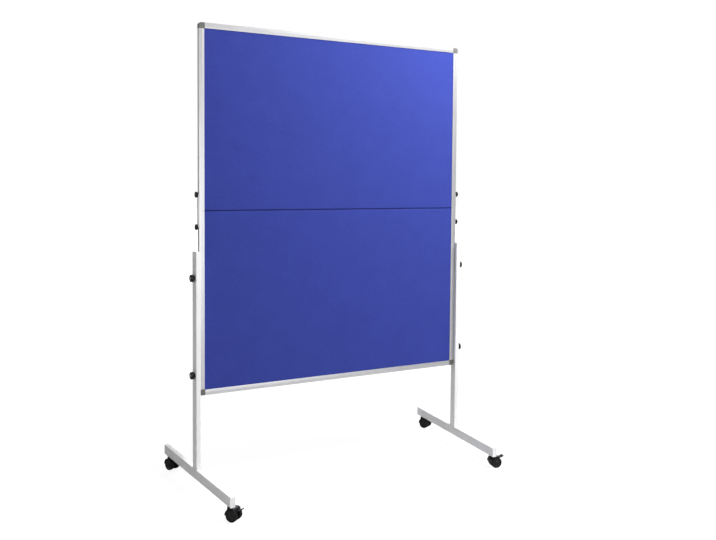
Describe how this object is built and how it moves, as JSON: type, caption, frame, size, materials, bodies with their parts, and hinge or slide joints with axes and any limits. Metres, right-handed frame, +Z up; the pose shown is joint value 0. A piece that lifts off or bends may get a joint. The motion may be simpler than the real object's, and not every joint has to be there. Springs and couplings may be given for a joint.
{
  "type": "rolling partition",
  "caption": "Free-standing felt pin board in an aluminium frame that folds at half height, on two T-shaped legs with braked swivel casters.",
  "frame": {"origin": "on the floor, midway between the two legs and below the middle of the board's thickness", "axes": "+Z up, +X towards the right leg as seen from the front, -Y towards the front face of the board"},
  "size_m": [1.3833, 0.725, 1.893],
  "materials": {
    "frame_rail": "satin anodised",
    "corner_piece": "fine moulded grain",
    "core_board": "raw soft fibreboard",
    "felt": "needled felt",
    "zinc_steel": "bright zinc plated",
    "threaded_block": "plain",
    "leg_tube": "white powder coat",
    "tube_plug": "moulded white",
    "knob": "fine moulded grain",
    "caster_hood": "moulded nylon",
    "caster_wheel": "moulded nylon with soft tread",
    "brake_lever": "moulded nylon"
  },
  "bodies": {
    "stand": {"lower_left_rail": "frame_rail", "lower_right_rail": "frame_rail", "bottom_rail": "frame_rail", "lower_corner_caps": "corner_piece", "lower_core": "core_board", "lower_front_felt": "felt", "lower_back_felt": "felt", "lower_hinge_leaves": "zinc_steel", "lower_hinge_screws": "zinc_steel", "hinge_pins": "zinc_steel", "lower_inserts": "threaded_block", "left_post": "leg_tube", "right_post": "leg_tube", "left_foot": "leg_tube", "right_foot": "leg_tube", "tube_plugs": "tube_plug", "foot_bolts": "zinc_steel", "post_blocks": "threaded_block", "caster_sleeves": "tube_plug", "caster_pins": "zinc_steel"},
    "upper_half": {"upper_left_rail": "frame_rail", "upper_right_rail": "frame_rail", "top_rail": "frame_rail", "upper_corner_caps": "corner_piece", "upper_core": "core_board", "upper_front_felt": "felt", "upper_back_felt": "felt", "upper_hinge_leaves": "zinc_steel", "upper_hinge_screws": "zinc_steel", "upper_inserts": "threaded_block"},
    "left_strap": {"left_strap": "zinc_steel"},
    "left_upper_fold_knob": {"left_upper_fold_knob": "knob"},
    "left_lower_fold_knob": {"left_lower_fold_knob": "knob"},
    "left_upper_leg_knob": {"left_upper_leg_knob": "knob"},
    "left_lower_leg_knob": {"left_lower_leg_knob": "knob"},
    "right_strap": {"right_strap": "zinc_steel"},
    "right_upper_fold_knob": {"right_upper_fold_knob": "knob"},
    "right_lower_fold_knob": {"right_lower_fold_knob": "knob"},
    "right_upper_leg_knob": {"right_upper_leg_knob": "knob"},
    "right_lower_leg_knob": {"right_lower_leg_knob": "knob"},
    "left_front_caster": {"left_front_hood": "caster_hood", "left_front_axle": "zinc_steel"},
    "left_front_wheel_1": {"left_front_wheel_1": "caster_wheel"},
    "left_front_wheel_2": {"left_front_wheel_2": "caster_wheel"},
    "left_front_brake": {"left_front_brake": "brake_lever"},
    "left_rear_caster": {"left_rear_hood": "caster_hood", "left_rear_axle": "zinc_steel"},
    "left_rear_wheel_1": {"left_rear_wheel_1": "caster_wheel"},
    "left_rear_wheel_2": {"left_rear_wheel_2": "caster_wheel"},
    "left_rear_brake": {"left_rear_brake": "brake_lever"},
    "right_front_caster": {"right_front_hood": "caster_hood", "right_front_axle": "zinc_steel"},
    "right_front_wheel_1": {"right_front_wheel_1": "caster_wheel"},
    "right_front_wheel_2": {"right_front_wheel_2": "caster_wheel"},
    "right_front_brake": {"right_front_brake": "brake_lever"},
    "right_rear_caster": {"right_rear_hood": "caster_hood", "right_rear_axle": "zinc_steel"},
    "right_rear_wheel_1": {"right_rear_wheel_1": "caster_wheel"},
    "right_rear_wheel_2": {"right_rear_wheel_2": "caster_wheel"},
    "right_rear_brake": {"right_rear_brake": "brake_lever"}
  },
  "joints": [
    {"name": "fold", "type": "hinge", "parent": "stand", "child": "upper_half", "pos_m": [0, 0.013, 1.143], "axis": [-1, 0, 0], "range_deg": [0, 180]},
    {"name": "left_strap_turn", "type": "hinge", "parent": "stand", "child": "left_strap", "pos_m": [-0.62585, 0, 1.078], "axis": [1, 0, 0], "range_deg": [0, 90]},
    {"name": "left_upper_fold_knob_turn", "type": "hinge", "parent": "upper_half", "child": "left_upper_fold_knob", "pos_m": [-0.6267, 0, 1.208], "axis": [-1, 0, 0], "range_deg": [0, 720]},
    {"name": "left_lower_fold_knob_turn", "type": "hinge", "parent": "stand", "child": "left_lower_fold_knob", "pos_m": [-0.6267, 0, 1.078], "axis": [-1, 0, 0], "range_deg": [0, 720]},
    {"name": "left_upper_leg_knob_turn", "type": "hinge", "parent": "stand", "child": "left_upper_leg_knob", "pos_m": [-0.64473, -0.00666, 0.873], "axis": [-0.9968, -0.0802, 0], "range_deg": [0, 720]},
    {"name": "left_lower_leg_knob_turn", "type": "hinge", "parent": "stand", "child": "left_lower_leg_knob", "pos_m": [-0.64473, -0.00666, 0.479], "axis": [-0.9968, -0.0802, 0], "range_deg": [0, 720]},
    {"name": "right_strap_turn", "type": "hinge", "parent": "stand", "child": "right_strap", "pos_m": [0.62585, 0, 1.078], "axis": [1, 0, 0], "range_deg": [0, 90]},
    {"name": "right_upper_fold_knob_turn", "type": "hinge", "parent": "upper_half", "child": "right_upper_fold_knob", "pos_m": [0.6267, 0, 1.208], "axis": [1, 0, 0], "range_deg": [0, 720]},
    {"name": "right_lower_fold_knob_turn", "type": "hinge", "parent": "stand", "child": "right_lower_fold_knob", "pos_m": [0.6267, 0, 1.078], "axis": [1, 0, 0], "range_deg": [0, 720]},
    {"name": "right_upper_leg_knob_turn", "type": "hinge", "parent": "stand", "child": "right_upper_leg_knob", "pos_m": [0.64473, -0.00666, 0.873], "axis": [0.9968, -0.0802, 0], "range_deg": [0, 720]},
    {"name": "right_lower_leg_knob_turn", "type": "hinge", "parent": "stand", "child": "right_lower_leg_knob", "pos_m": [0.64473, -0.00666, 0.479], "axis": [0.9968, -0.0802, 0], "range_deg": [0, 720]},
    {"name": "left_front_swivel", "type": "hinge", "parent": "stand", "child": "left_front_caster", "pos_m": [-0.6091, -0.32482, 0.045], "axis": [0, 0, 1], "continuous": true},
    {"name": "left_front_wheel_1_roll", "type": "hinge", "parent": "left_front_caster", "child": "left_front_wheel_1", "pos_m": [-0.59676, -0.34181, 0.024], "axis": [0.809, 0.5878, 0], "continuous": true},
    {"name": "left_front_wheel_2_roll", "type": "hinge", "parent": "left_front_caster", "child": "left_front_wheel_2", "pos_m": [-0.59676, -0.34181, 0.024], "axis": [0.809, 0.5878, 0], "continuous": true},
    {"name": "left_front_brake_press", "type": "hinge", "parent": "left_front_caster", "child": "left_front_brake", "pos_m": [-0.5892, -0.35221, 0.03932], "axis": [0.809, 0.5878, 0], "range_deg": [0, 14]},
    {"name": "left_rear_swivel", "type": "hinge", "parent": "stand", "child": "left_rear_caster", "pos_m": [-0.66043, 0.31311, 0.045], "axis": [0, 0, 1], "continuous": true},
    {"name": "left_rear_wheel_1_roll", "type": "hinge", "parent": "left_rear_caster", "child": "left_rear_wheel_1", "pos_m": [-0.6529, 0.29351, 0.024], "axis": [0.9336, 0.3584, 0], "continuous": true},
    {"name": "left_rear_wheel_2_roll", "type": "hinge", "parent": "left_rear_caster", "child": "left_rear_wheel_2", "pos_m": [-0.6529, 0.29351, 0.024], "axis": [0.9336, 0.3584, 0], "continuous": true},
    {"name": "left_rear_brake_press", "type": "hinge", "parent": "left_rear_caster", "child": "left_rear_brake", "pos_m": [-0.6483, 0.28151, 0.03932], "axis": [0.9336, 0.3584, 0], "range_deg": [0, 14]},
    {"name": "right_front_swivel", "type": "hinge", "parent": "stand", "child": "right_front_caster", "pos_m": [0.6091, -0.32482, 0.045], "axis": [0, 0, 1], "continuous": true},
    {"name": "right_front_wheel_1_roll", "type": "hinge", "parent": "right_front_caster", "child": "right_front_wheel_1", "pos_m": [0.62948, -0.3299, 0.024], "axis": [0.2419, 0.9703, 0], "continuous": true},
    {"name": "right_front_wheel_2_roll", "type": "hinge", "parent": "right_front_caster", "child": "right_front_wheel_2", "pos_m": [0.62948, -0.3299, 0.024], "axis": [0.2419, 0.9703, 0], "continuous": true},
    {"name": "right_front_brake_press", "type": "hinge", "parent": "right_front_caster", "child": "right_front_brake", "pos_m": [0.64195, -0.33301, 0.03932], "axis": [0.2419, 0.9703, 0], "range_deg": [0, 14]},
    {"name": "right_rear_swivel", "type": "hinge", "parent": "stand", "child": "right_rear_caster", "pos_m": [0.66043, 0.31311, 0.045], "axis": [0, 0, 1], "continuous": true},
    {"name": "right_rear_wheel_1_roll", "type": "hinge", "parent": "right_rear_caster", "child": "right_rear_wheel_1", "pos_m": [0.66963, 0.29424, 0.024], "axis": [0.8988, 0.4384, 0], "continuous": true},
    {"name": "right_rear_wheel_2_roll", "type": "hinge", "parent": "right_rear_caster", "child": "right_rear_wheel_2", "pos_m": [0.66963, 0.29424, 0.024], "axis": [0.8988, 0.4384, 0], "continuous": true},
    {"name": "right_rear_brake_press", "type": "hinge", "parent": "right_rear_caster", "child": "right_rear_brake", "pos_m": [0.67527, 0.28269, 0.03932], "axis": [0.8988, 0.4384, 0], "range_deg": [0, 14]}
  ]
}
